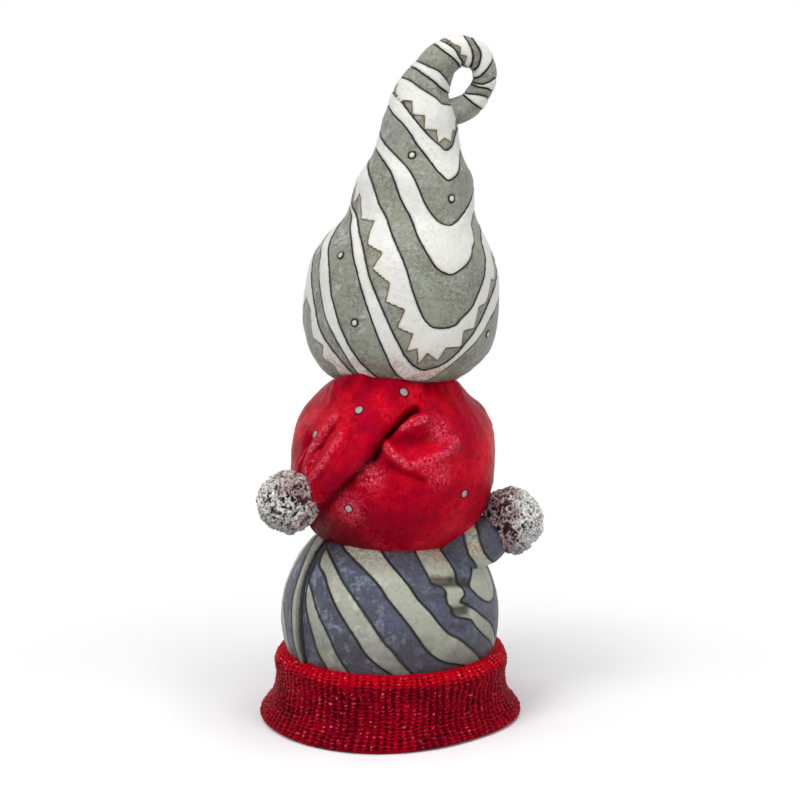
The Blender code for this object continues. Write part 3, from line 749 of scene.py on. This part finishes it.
def silver_paint(name, red_tint, red_tint_dark):
    """Silver paint worn to a dark wash in the pits, with a reddish tint over part of the ball and painted
    shade underneath.
    """
    made, tree, shader = new_material(name, **{"Metallic": 0.3, "Specular IOR Level": 0.6})
    hollow, red_tinted, under = attributes(tree, "hollow", "red_tinted", "under")
    fine = noise_at(tree, 520, 4, 0.75)
    broad = noise_at(tree, 70, 3)
    colour = coats(
        tree, (0.2, 0.19, 0.17),
        (fine.ramp(0.4, 0.58), (0.92, 0.91, 0.88)),
        (broad.ramp(0.5, 0.66, 0, 0.3), (0.3, 0.25, 0.23)),
        # Painted shade on the underside.
        (under * 0.5, (0.1, 0.085, 0.075)),
        # A reddish tint over part of the ball, darker in its pits.
        (red_tinted * hollow.ramp(0, 0.22, 0.5, 1), red_tint),
        (hollow.ramp(0.35, 0.9, 0, 0.97), blend(tree, red_tinted, (0.035, 0.03, 0.026), red_tint_dark)),
    )
    return finished(made, shader, colour, hollow.ramp(0.1, 0.8, 0.3, 0.6), fine, POMPOM_BUMP)


# Pieces, from the floor up.


def knit_cuff(material):
    """Turned-up cuff: columns of stitches, ladders of small holes between them, rolled lip."""
    wall_top = CUFF_HEIGHT - CUFF_LIP_ROUND
    foot = CUFF_RADIUS + CUFF_FOOT_FLARE
    profile = [
        (foot - CUFF_FOOT_ROUND, 0.0),
        (foot - 0.25 * CUFF_FOOT_ROUND, 0.3 * CUFF_FOOT_ROUND),
        (foot, 1.2 * CUFF_FOOT_ROUND),
        (CUFF_RADIUS + 0.55 * CUFF_FOOT_FLARE, 0.5 * CUFF_FLARE_HEIGHT),
        (CUFF_RADIUS + 0.12 * CUFF_FOOT_FLARE, 0.88 * CUFF_FLARE_HEIGHT),
        (CUFF_RADIUS - 1.0, 0.5 * (CUFF_FLARE_HEIGHT + wall_top)),
    ]
    for turn in np.radians(np.linspace(0, 100, 8)):
        inward = CUFF_LIP_ROUND * (1 - math.cos(turn))
        profile.append((CUFF_RADIUS - inward, wall_top + CUFF_LIP_ROUND * math.sin(turn)))
    line = smooth_line(profile, 900)
    run = np.concatenate([[0], np.cumsum(np.linalg.norm(np.diff(line, axis=0), axis=1))])
    angles = np.linspace(-180, 180, CUFF_WALES * CUFF_SAMPLES, endpoint=False)
    turn, along = np.meshgrid(angles, np.linspace(0, run[-1], CUFF_ROWS))
    high = np.interp(along, run, line[:, 1])
    flat = CUFF_FLAT_DEPTH * bell(turn - CUFF_FLAT_ANGLE, CUFF_FLAT_SPREAD)
    radii = np.interp(along, run, line[:, 0]) - flat * np.clip(1 - high / wall_top, 0, 1)
    rings = polar(radii, turn, high, CUFF_OFFSET)
    out = surface_out(rings)
    waver = crumple(rings, 26.0, 3, 2)
    jitter = crumple(rings, 4.0, 8, 2)
    patchy = crumple(rings, 14.0, 6, 2)
    wale = (turn / 360 * CUFF_WALES + 0.55 * waver + 0.13 * jitter) * 2 * math.pi
    course = (along / KNIT_COURSE + 0.7 * crumple(rings, 18.0, 5, 2) + 0.5 * jitter) * 2 * math.pi
    column = 0.5 + 0.5 * np.cos(wale)
    bars = 0.5 + 0.5 * np.cos(course + 0.8 * np.cos(wale))
    valley = ramp_of(0.62 - column, 0.0, 0.5)
    gaps = ramp_of(0.62 - bars, 0.0, 0.5)
    holes = np.clip(valley * gaps * (0.95 + 1.3 * patchy + 1.0 * jitter), 0, 1)
    worn = ramp_of(along, 2.0, 6.5) * ramp_of(run[-1] - along, 2.0, 8.0)
    lift = KNIT_RIB * (column - 1.0) + KNIT_BAR * (bars - 0.6) + 0.4 * jitter
    push = worn * (lift - KNIT_HOLE * holes) - 0.4 * (1 - worn)
    sag = 0.9 * crumple(rings, 34.0, 11, 2)
    rings = rings + out * (push + sag * worn)[..., None]
    rings[0, :, 2] = 0.0
    rings[..., 2] = np.maximum(rings[..., 2], 0.0)
    # Painted light: the lip lighter on top, painted shade in the holes and between the bars, painted
    # highlights on the stitches.
    lip = ramp_of(high, wall_top + 1.0, wall_top + 8.0)
    hollow = np.clip(holes + 0.30 * gaps * (1 - 0.5 * lip), 0, 1) * worn
    crest = np.clip(bars * (0.35 + 0.65 * column) + 0.45 * jitter, 0, 1) * worn
    return loft("knit_cuff", rings, material, "red_knit", hollow=hollow, crest=crest, lip=lip)


def back_lines():
    """Stripe boundaries carried on round the hidden side of the blue ball."""
    heights = np.array((-60, -20, 20, 60))
    start = np.interp(heights, *zip(*BLUE_LINES[-1]))
    end = np.interp(heights, *zip(*BLUE_LINES[0])) + 360
    first, last = BLUE_BACK_SPAN
    lines = []
    for share in np.arange(1, BLUE_BACK_LINES + 1) / (BLUE_BACK_LINES + 1):
        twist = -0.55 * heights * math.sin(share * math.pi) ** 0.5
        middle = (first * (1 - share) + last * share) + twist
        weight = max(2 * share - 1, 0) ** 1.5
        ends = start * (1 - share) + end * share
        lines.append(tuple(zip(heights, weight * ends + (1 - weight) * middle)))
    return lines


def blue_stripes(angles, heights):
    """Distance to the nearest boundary, positive on sage stripes and negative on blue ones."""
    level = np.sqrt(np.clip(1 - (heights / BLUE_RADIUS) ** 2, 1e-4, 1))
    per_degree = BLUE_RADIUS * level * math.pi / 180
    line = np.full(angles.shape, FAR)
    passed = np.zeros(angles.shape, int)
    start = None
    for boundary in list(BLUE_LINES) + back_lines():
        angle, slope = level_line(*np.array(sorted(boundary), float).T, heights)
        start = angle if start is None else start
        offset = (angles - angle + 180) % 360 - 180
        close = offset * per_degree / np.sqrt(1 + (slope * per_degree * level) ** 2)
        line = np.minimum(line, np.abs(close))
        passed += (angles - start) % 360 > (angle - start) % 360
    stripe = np.where(passed % 2, -line, line)
    patch, patch_side, _ = distance_to(BLUE_PATCH, angles, heights, 0.75 * BLUE_RADIUS)
    near_patch = (angles > 44) & (angles < 92) & (heights > 10) & (heights < 55)
    inside = near_patch & (patch_side < 0)
    beside = near_patch & ~inside & (stripe < 0)
    return np.where(inside, patch, np.where(beside, np.maximum(stripe, -patch), stripe))


def blue_hat(material):
    """Blue and sage striped ball with a fold at its left and gathers under its tail."""
    angles, heights = ball_grid(BLUE_GRID, BLUE_RADIUS, 20)
    ball = (angles, heights, BLUE_RADIUS)
    gap, side, share = distance_to(BLUE_FOLD, *ball)
    fade = np.sin(np.clip(share, 0.02, 1) * math.pi * 0.55 + 0.35)
    roll = BLUE_FOLD_HEIGHT * (1 - np.exp(-gap / 1.6)) * bell(gap, 9.0)
    swell = fade * np.where(side > 0, roll, -1.4 * gap * np.exp(-gap / 1.5))
    pinch = np.zeros_like(swell)
    for strength, line in BLUE_GATHERS:
        dent = strength * ridge(line, *ball, 4.4)
        pinch = np.maximum(pinch, dent)
        beside = [(angle + 3, height - 7) for angle, height in line]
        swell += 1.6 * strength * ridge(beside, *ball, 5.0) - 3.6 * dent
    radii = ball_radius(heights, BLUE_RADIUS, BLUE_RADIUS, 2.0)
    spots = polar(radii, angles, BLUE_CENTRE_Z + heights, BLUE_OFFSET)
    stripe = blue_stripes(angles, heights)
    swell += 0.5 * crumple(spots, 26.0, 21) + 0.22 * crumple(spots, 7.0, 22)
    grown = 1 + (swell - 0.5 * bell(stripe, ENGRAVED_WIDTH)) / BLUE_RADIUS
    high = np.maximum(BLUE_CENTRE_Z + heights * grown, CUFF_FOOT_ROUND)
    # Painted shade along the fold's crease and in the gathers.
    crease = fade * np.where(side > 0, 0.9 * bell(gap - 1.6, 2.6), 0.62 * bell(gap, 0.9))
    hollow = np.clip(0.8 * crease + 1.35 * pinch**1.5, 0, 1)
    tooth = np.full_like(stripe, NO_TEETH)
    rings = polar(radii * grown, angles, high, BLUE_OFFSET)
    return loft("blue_hat", rings, material, "blue_knit", stripe=stripe, tooth=tooth, hollow=hollow)


def red_swell(angles, heights):
    """How far the red hat's folds stand off its ball, and how much painted shade lies in its creases."""
    ball = (angles, heights, RED_RADIUS)
    gap, side, share = distance_to(RED_CREASE, *ball)
    reach = 58.0 - 34.0 * share
    begun = np.clip(6 * share, 0, 1)
    lift = RED_FLAP_HEIGHT * begun
    flap = lift * (1 - np.exp(-gap / RED_CREASE_ROUND)) * bell(gap, reach)
    flap += RED_ROLL_HEIGHT * begun * bell(gap - 6.5, 4.0)
    under = 0.35 * lift * np.exp(-gap / 9.0)
    swell = np.where(side > 0, flap - under * np.exp(-gap), -under)
    depth = np.interp(share, *zip(*RED_CREASE_DEPTH))
    wide = np.interp(share, *zip(*RED_CREASE_WIDTH))
    # Painted shade in the crease and beside the folds.
    dark = depth * np.where(side > 0, bell(gap, 1.0), bell(gap, wide))
    for line, width, strength, shade_width, shade in RED_FOLDS:
        away, _, _ = distance_to(line, *ball)
        swell += strength * RED_FOLD_HEIGHT * bell(away, width)
        dark = np.maximum(dark, shade * bell(away, shade_width))
    # Painted shade just below the grey hat's rim.
    for angle, height in RED_RIM_SHADES:
        away = np.hypot(np.radians(angles - angle) * RED_RADIUS * 0.7, heights - height)
        dark = np.maximum(dark, 0.5 * bell(away, 5.0))
    return swell, dark


def dot_distance(dots, radius, angles, heights, per_degree, per_level):
    """Signed distance to the nearest dot's edge, positive inside it."""
    best = np.full(angles.shape, -FAR)
    for angle, level in dots:
        across = ((angles - angle + 180) % 360 - 180) * per_degree
        best = np.maximum(best, radius - np.hypot(across, (heights - level) * per_level))
    return best


def red_hat(material):
    """Red ball with its crown folded down to the left, and pillow folds beside the crease."""
    angles, heights = ball_grid(RED_GRID, RED_HALF_HEIGHT, 22)
    swell, dark = red_swell(angles, heights)
    across = ball_radius(heights, RED_HALF_HEIGHT, RED_RADIUS, RED_FULLNESS)
    spots = polar(across, angles, RED_CENTRE_Z + heights, RED_OFFSET)
    rough = 0.9 * crumple(spots, 30.0, 31) + 0.3 * crumple(spots, 6.0, 32)
    level = np.maximum(across / RED_RADIUS, 0.3)
    per_degree = across * math.pi / 180
    dots = dot_distance(RED_DOTS, RED_DOT_RADIUS, angles, heights, per_degree, 1 / level)
    grown = 1 + (swell + rough + 0.5 * ramp_of(dots, -0.6, 0.4)) / RED_RADIUS
    rings = polar(across * grown, angles, RED_CENTRE_Z + heights * grown, RED_OFFSET)
    # Painted highlights along the pillow, brow and pleats, and patches of painted glints.
    crest = np.zeros_like(swell)
    for line in (RED_PILLOW, RED_BROW) + RED_PLEATS:
        crest = np.maximum(crest, ridge(line, angles, heights, RED_RADIUS, 2.6))
    for angle, height, wide in RED_GLINT_PATCHES:
        away = np.hypot(np.radians(angles - angle) * RED_RADIUS, heights - height)
        crest = np.maximum(crest, 0.6 * bell(away, wide))
    return loft("red_hat", rings, material, "red_knit", hollow=dark, dots=dots, crest=crest)


def grey_spine(rows):
    """Rows on the grey hat's spine: x, z and radius, with the tilt of each ring."""
    lean, rise, radius = GREY_OUTLINE[0]
    stations = [(lean, GREY_RIM_Z - GREY_SINK, 0.85 * radius, 0.0)]
    for lean, rise, radius in GREY_OUTLINE:
        stations.append((lean, GREY_RIM_Z + rise, radius, 0.0))
    for turn, out, radius in CURL_OUTLINE:
        x = CURL_REACH + out * math.cos(math.radians(turn))
        z = GREY_RIM_Z + CURL_RISE + out * math.sin(math.radians(turn))
        stations.append((x, z, radius, 1.0))
    line = smooth_line(stations, rows)
    step = np.gradient(line[:, :2], axis=0)
    tilt = np.unwrap(np.arctan2(step[:, 0], step[:, 1])) * np.clip(line[:, 3], 0, 1)
    return line, tilt, len(stations) - 1


def grey_pattern(angles, levels, per_degree, per_level):
    """Stripe value (positive on white), distance to dark lines and to the teeth."""
    body = BODY_LINES
    teeth = (
        TIP_WEDGE + ((TIP_WEDGE[0][0] + 360, TIP_WEDGE[0][1]),),
        carried_teeth(UPPER_TEETH, mirrored(NECK_RINGS[4]), body["A"], 66, 290, 22, (0.15, 0.6)),
        carried_teeth(MAIN_TEETH, body["E"], body["F"], 70, 300, 32, (0.12, 0.5)),
        carried_teeth(LOWER_TEETH, body["J"], body["K"], 70, 279, 22, (0.2, 0.6)),
    )
    smooth = [mirrored(ring) for ring in TIP_RINGS + NECK_RINGS] + list(body.values())
    above = np.zeros(angles.shape, int)
    line = np.full(angles.shape, FAR)
    for points in smooth:
        level, slope = closed_line(points, angles)
        close = (levels - level) * per_level / np.sqrt(1 + (slope * per_level / per_degree) ** 2)
        line = np.minimum(line, np.abs(close))
        above += levels > level
    tooth = np.full(angles.shape, FAR)
    for corners in teeth:
        close, higher = teeth_distance(corners, angles, levels, per_degree, per_level)
        tooth = np.minimum(tooth, close)
        above += higher
    total = len(smooth) + len(teeth)
    sign = np.where((total - above) % 2, 1.0, -1.0)
    stripe = sign * np.minimum(line, tooth)
    dots = dot_distance(GREY_DOTS, GREY_DOT_RADIUS, angles, levels, per_degree, per_level)
    stripe = np.where(dots > -2.0, np.maximum(stripe, dots), stripe)
    line = np.minimum(line, np.abs(dots + 0.3))
    return stripe, line, tooth


def grey_hat(material):
    """Tall grey hat with white stripes and teeth, its tip curled back into its side."""
    sides, rows = GREY_GRID
    spine, tilt, last = grey_spine(rows)
    tilt = tilt[:, None]
    angles, levels = np.meshgrid(crowded_angles(sides, 16), np.linspace(0, last, rows))
    turn = np.radians(angles)
    sideways = spine[:, 2:3] * np.sin(turn)
    x = spine[:, 0:1] + sideways * np.cos(tilt)
    y = -GREY_DEPTH_RATIO * spine[:, 2:3] * np.cos(turn)
    z = spine[:, 1:2] - sideways * np.sin(tilt)
    rings = np.stack([x, y, z], -1)
    along = np.linalg.norm(np.gradient(rings, axis=0), axis=-1) * (rows - 1) / last
    per_degree = spine[:, 2:3] * math.pi / 180
    stripe, line, tooth = grey_pattern(angles, levels, per_degree, along)
    out = surface_out(rings)
    thin = ramp_of(spine[:, 2:3], 8.0, 30.0)
    lumps = (0.35 + 0.65 * thin) * (0.7 * crumple(rings, 28.0, 41) + 0.25 * crumple(rings, 7.0, 42))
    raised = 0.5 * ramp_of(stripe, -0.3, 1.0) - 0.55 * bell(line, ENGRAVED_WIDTH)
    rings = rings + out * (lumps + raised)[..., None]
    # Painted shade where the grey hat's rim sits in the red hat.
    hollow = 0.7 * bell(levels - 0.9, 0.25)
    rim = ramp_of(1.25 - levels, 0.0, 0.2)
    values = {"stripe": stripe, "tooth": tooth, "hollow": hollow, "rim": rim}
    return loft("grey_hat", rings, material, "grey_knit", **values)


def tail(points, flutes, flute_height, lump_height, lump_size, seed):
    """Lumpy rings square to a smooth line of x, y, z and radius, fluted towards its end."""
    sides, rows = TAIL_GRID
    line = smooth_line(points, rows)
    step = np.gradient(line[:, :3], axis=0)
    step /= np.linalg.norm(step, axis=1, keepdims=True)
    side = np.cross(step, (0.0, 1.0, 0.0))
    side /= np.linalg.norm(side, axis=1, keepdims=True)
    front = np.cross(side, step)
    turn = np.linspace(-math.pi, math.pi, sides, endpoint=False)
    share = np.linspace(0, 1, rows)[:, None]
    wave = np.cos(flutes * turn[None, :] + 2.2 * np.sin(2 * turn[None, :]) + share)
    radius = line[:, 3:4] * (1 + flute_height * share**1.2 * wave)
    rings = line[:, None, :3] + radius[..., None] * (
        np.cos(turn)[None, :, None] * side[:, None, :] + np.sin(turn)[None, :, None] * front[:, None, :]
    )
    lumps = lump_height * crumple(rings, lump_size, seed)
    return rings + surface_out(rings) * lumps[..., None], wave * share**1.2


def red_tail(material):
    """Neck of the red hat's folded crown, gathered towards its pompom."""
    x, y, z = RED_POMPOM
    wide = RED_TAIL_NECK
    points = (
        (0.25 * x, 0.60 * y, z + 45, 1.3 * wide),
        (0.57 * x, 0.75 * y, z + 29, 1.42 * wide),
        (0.78 * x, 0.76 * y, z + 13, 1.0 * wide),
        (0.93 * x, 0.86 * y, z + 4, 0.6 * wide),
    )
    rings, wave = tail(points, 7, 0.13, 0.4, 9.0, 51)
    # Painted shade in the flutes' valleys and painted highlights on their ridges.
    hollow = 0.75 * ramp_of(-wave, 0.25, 0.9)
    crest = ramp_of(wave, 0.0, 0.8)
    dots = np.full_like(wave, NO_DOTS)
    return loft("red_tail", rings, material, "red_knit", hollow=hollow, crest=crest, dots=dots)


def blue_tail(material):
    """Tail of the blue hat, from under the red ball to its pompom."""
    x, y, z = BLUE_POMPOM
    points = (
        (0.25 * x, y, z - 38, 0.9 * BLUE_TAIL_RADIUS),
        (0.51 * x, y - 10, z - 19, BLUE_TAIL_RADIUS),
        (0.73 * x, y - 5, z - 15.5, 0.97 * BLUE_TAIL_RADIUS),
        (0.87 * x, y + 2, z - 9.5, 0.73 * BLUE_TAIL_RADIUS),
        (0.97 * x, y + 4, z - 4, 0.45 * BLUE_TAIL_RADIUS),
    )
    rings, wave = tail(points, 6, 0.05, 0.5, 10.0, 61)
    cuts = [nearest_run(np.array(cut), rings[..., (0, 2)]) for cut in TAIL_LINES]
    line = np.min([gap for gap, _, _ in cuts], axis=0)
    passed = sum((side < 0).astype(int) for _, side, _ in cuts)
    stripe = np.where(passed % 2, line, -line)
    tooth = np.full_like(line, NO_TEETH)
    # Painted shade in the flutes' valleys.
    hollow = 0.5 * ramp_of(-wave, 0.5, 1.0)
    return loft("blue_tail", rings, material, "blue_knit", stripe=stripe, tooth=tooth, hollow=hollow)


def pompom(name, centre, wide, tall, lean, seed, red_tint_from, material):
    """Crumpled silver ball: worm-like ridges with dark pits between them."""
    model = bmesh.new()
    bmesh.ops.create_icosphere(model, subdivisions=POMPOM_LEVELS, radius=1.0)
    out = np.array([vert.co[:] for vert in model.verts])
    out /= np.linalg.norm(out, axis=1, keepdims=True)
    spots = out * POMPOM_RADIUS
    bend = np.stack([crumple(spots, 7.0, seed + step, 2) for step in range(3)], 1)
    twisted = spots + 2.4 * bend
    tufts = crumple(spots, 11.0, seed + 3, 2)
    folds = 1 - 2.2 * np.abs(crumple(twisted, 7.0, seed + 4, 2))
    small = 1 - 2.2 * np.abs(crumple(twisted, 3.4, seed + 5, 2))
    crest = 0.45 * folds + 0.55 * small
    reach = POMPOM_RADIUS + 2.2 * tufts + 3.4 * (crest - 0.5)
    grown = out * reach[:, None] * np.array([wide, wide, tall])
    tilt = math.radians(lean)
    across = grown[:, 0] * math.cos(tilt) + grown[:, 2] * math.sin(tilt)
    upward = grown[:, 2] * math.cos(tilt) - grown[:, 0] * math.sin(tilt)
    points = (np.array(centre) + np.stack([across, grown[:, 1], upward], 1)) * METRES
    for vert, point in zip(model.verts, points):
        vert.co = point
    mesh = bpy.data.meshes.new(name)
    model.to_mesh(mesh)
    model.free()
    blotches = 0.6 * crumple(spots, 9.0, seed + 6, 2)
    keep(mesh, "hollow", ramp_of(0.5 - crest, 0.0, 0.5))
    # A reddish tint over the side that faces the red hat, given as a direction.
    keep(mesh, "red_tinted", ramp_of(out @ np.array(red_tint_from) + blotches, -0.1, 0.2))
    # Painted shade on the underside, more at the left.
    keep(mesh, "under", ramp_of(-out[:, 2] - 0.3 * out[:, 0], 0.1, 0.9))
    return place(name, mesh, material)


# Studio: floor, lights, surroundings and camera.


def seen_ray(tree):
    """1 for a camera, glossy or transmission ray."""
    rays = put(tree, "LightPath").outputs
    seen = Value(tree, rays["Is Camera Ray"]).most(rays["Is Glossy Ray"])
    return seen.most(rays["Is Transmission Ray"])


def floor():
    """Pale floor that fades to white away from the figurine."""
    mesh = bpy.data.meshes.new("floor")
    corners = [(x * FLOOR_REACH, y * FLOOR_REACH, 0) for x, y in ((-1, -1), (1, -1), (1, 1), (-1, 1))]
    mesh.from_pydata(corners, [], [(0, 1, 2, 3)])
    made, tree, shader = new_material("floor_paint", **{"Roughness": 0.9, "Specular IOR Level": 0.0})
    shader.inputs["Base Color"].default_value = (0.9, 0.9, 0.9, 1.0)
    away = put(tree, "VectorMath", {0: own_place(tree)}, operation="LENGTH").outputs["Value"]
    share = Value(tree, away).ramp(0.16, 0.42) * seen_ray(tree)
    white = put(tree, "Emission")
    mixed = put(tree, "MixShader", {0: share, 1: shader.outputs[0], 2: white.outputs[0]})
    join(tree, mixed.outputs[0], tree.nodes["Material Output"].inputs["Surface"])
    mesh.materials.append(made)
    link("floor", mesh)


def studio():
    """Floor, soft lights, white surroundings and the camera at the photograph's view."""
    floor()
    for name, where, size, power in LIGHTS:
        data = bpy.data.lights.new(name, "AREA")
        data.size = size
        data.energy = power
        lamp = link(name, data)
        lamp.location = where
        lamp.rotation_euler = (Vector(LIGHT_AIM) - Vector(where)).to_track_quat("-Z", "Y").to_euler()
    scene = bpy.context.scene
    scene.world = bpy.data.worlds.new("studio")
    scene.world.use_nodes = True
    tree = scene.world.node_tree
    colour = blend(tree, seen_ray(tree), (0.28, 0.28, 0.29), (1.0, 1.0, 1.0))
    join(tree, colour, tree.nodes["Background"].inputs["Color"])
    data = bpy.data.cameras.new("camera")
    data.lens = CAMERA_LENS
    data.sensor_width = CAMERA_SENSOR
    scene.camera = link("camera", data)
    scene.camera.location = CAMERA_PLACE
    scene.camera.rotation_euler = (math.radians(CAMERA_TILT), 0.0, 0.0)
    scene.view_settings.view_transform = "Standard"


def build():
    """Make every piece of the figurine."""
    grey = striped_paint(
        "grey_knit", (0.285, 0.3, 0.238), (0.42, 0.455, 0.44), (0.075, 0.06, 0.038),
        (0.64, 0.64, 0.605), (0.46, 0.43, 0.36),
        rust=(0.306, 0.278, 0.5, (0.5, 0.27, 0.18), (0.11, 0.08, 0.058)),
        low_shade=0.0, shine=0.3, line_width=0.85,
    )
    blue = striped_paint(
        "blue_knit", (0.078, 0.089, 0.138), (0.27, 0.295, 0.365), (0.028, 0.022, 0.022),
        (0.36, 0.375, 0.3), (0.17, 0.155, 0.1),
        rust=(0.127, 0.143, 0.65, (0.46, 0.31, 0.21), (0.075, 0.065, 0.07)),
        low_shade=0.7, shine=0.4, line_width=1.2,
    )
    red = red_paint("red_knit")
    knit_cuff(cuff_paint("cuff_knit"))
    blue_hat(blue)
    red_hat(red)
    grey_hat(grey)
    red_tail(red)
    blue_tail(blue)
    rose = silver_paint("silver", (0.2, 0.07, 0.07), (0.03, 0.012, 0.014))
    maroon = silver_paint("silver_red_tinted", (0.13, 0.016, 0.024), (0.028, 0.008, 0.01))
    pompom("red_pompom", RED_POMPOM, 1.0, 1.0, 0.0, 71, (0.4, 0.12, 0.3), rose)
    pompom("blue_pompom", BLUE_POMPOM, 0.96, 1.1, -15.0, 83, (-0.95, -0.12, 0.4), maroon)


build()
studio()
